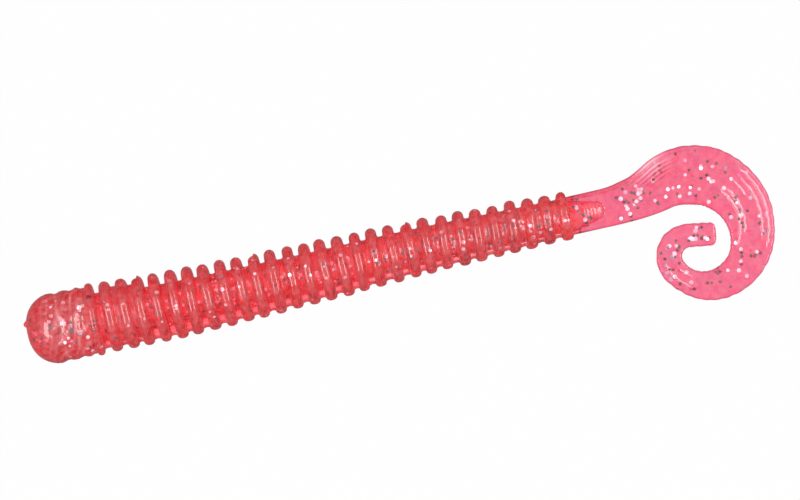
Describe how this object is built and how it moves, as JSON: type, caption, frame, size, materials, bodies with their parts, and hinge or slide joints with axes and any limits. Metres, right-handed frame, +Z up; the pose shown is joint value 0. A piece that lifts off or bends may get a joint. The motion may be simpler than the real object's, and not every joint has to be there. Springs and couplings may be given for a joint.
{
  "type": "soft plastic worm",
  "caption": "Soft plastic fishing worm with a blunt nose, a ringed tapering body and a flat curled tail, cast in clear coral plastic with silver and dark glitter.",
  "frame": {"origin": "middle of the worm's box, on the surface it lies on", "axes": "+X from nose to tail along the body, +Y towards the worm's back, +Z up, square to the flat of the tail"},
  "size_m": [0.0882, 0.0184, 0.0082],
  "materials": {
    "body_plastic": "glossy clear soft plastic, coral red where it is thick",
    "thin_plastic": "the same clear soft plastic, hot pink where it is thin",
    "silver_glitter": "bright silver film",
    "dark_glitter": "dark glossy film"
  },
  "bodies": {
    "head": {"nose": "body_plastic", "head_rings": "body_plastic", "head_silver_flakes": "silver_glitter", "head_dark_flakes": "dark_glitter"},
    "shoulder": {"shoulder_rings": "body_plastic", "neck_joint_ring": "body_plastic", "shoulder_silver_flakes": "silver_glitter", "shoulder_dark_flakes": "dark_glitter"},
    "middle": {"middle_rings": "body_plastic", "front_joint_ring": "body_plastic", "rear_joint_ring": "body_plastic", "middle_silver_flakes": "silver_glitter", "middle_dark_flakes": "dark_glitter"},
    "waist": {"waist_rings": "body_plastic", "stern_joint_ring": "body_plastic", "waist_silver_flakes": "silver_glitter", "waist_dark_flakes": "dark_glitter"},
    "stern": {"stern_rings": "body_plastic", "tail_stalk": "body_plastic", "tail_hinge_strip": "thin_plastic", "stern_silver_flakes": "silver_glitter", "stern_dark_flakes": "dark_glitter"},
    "blade": {"tail_blade": "thin_plastic", "tail_crown_strip": "thin_plastic", "blade_silver_flakes": "silver_glitter", "blade_dark_flakes": "dark_glitter"},
    "sweep": {"tail_sweep": "thin_plastic", "tail_heel_strip": "thin_plastic", "sweep_silver_flakes": "silver_glitter", "sweep_dark_flakes": "dark_glitter"},
    "hook": {"tail_hook": "thin_plastic", "hook_silver_flakes": "silver_glitter", "hook_dark_flakes": "dark_glitter"}
  },
  "joints": [
    {"name": "neck_bend", "type": "hinge", "parent": "shoulder", "child": "head", "pos_m": [-0.02771, 0.00424, 0.0041], "axis": [0, 0, 1], "range_deg": [-25, 25], "stiffness_Nm_per_rad": 0.0003, "deforming": ["neck_joint_ring"]},
    {"name": "front_bend", "type": "hinge", "parent": "middle", "child": "shoulder", "pos_m": [-0.01371, 0.00424, 0.0041], "axis": [0, 0, 1], "range_deg": [-25, 25], "stiffness_Nm_per_rad": 0.00022, "deforming": ["front_joint_ring"]},
    {"name": "rear_bend", "type": "hinge", "parent": "middle", "child": "waist", "pos_m": [0.00029, 0.00424, 0.0041], "axis": [0, 0, 1], "range_deg": [-25, 25], "stiffness_Nm_per_rad": 0.00015, "deforming": ["rear_joint_ring"]},
    {"name": "stern_bend", "type": "hinge", "parent": "waist", "child": "stern", "pos_m": [0.01429, 0.00424, 0.0041], "axis": [0, 0, 1], "range_deg": [-25, 25], "stiffness_Nm_per_rad": 0.0001, "deforming": ["stern_joint_ring"]},
    {"name": "tail_flap", "type": "hinge", "parent": "stern", "child": "blade", "pos_m": [0.02631, 0.00413, 0.0041], "axis": [0.0673, -0.9977, 0], "range_deg": [-10, 60], "stiffness_Nm_per_rad": 0.00001, "deforming": ["tail_hinge_strip"]},
    {"name": "crown_curl", "type": "hinge", "parent": "blade", "child": "sweep", "pos_m": [0.03774, 0.00496, 0.0041], "axis": [0.001, 0, 1], "range_deg": [-10, 35], "stiffness_Nm_per_rad": 0.0001, "deforming": ["tail_crown_strip"]},
    {"name": "heel_curl", "type": "hinge", "parent": "sweep", "child": "hook", "pos_m": [0.03659, -0.00735, 0.0041], "axis": [0.001, 0, 1], "range_deg": [-8, 35], "stiffness_Nm_per_rad": 0.000026, "deforming": ["tail_heel_strip"]}
  ]
}
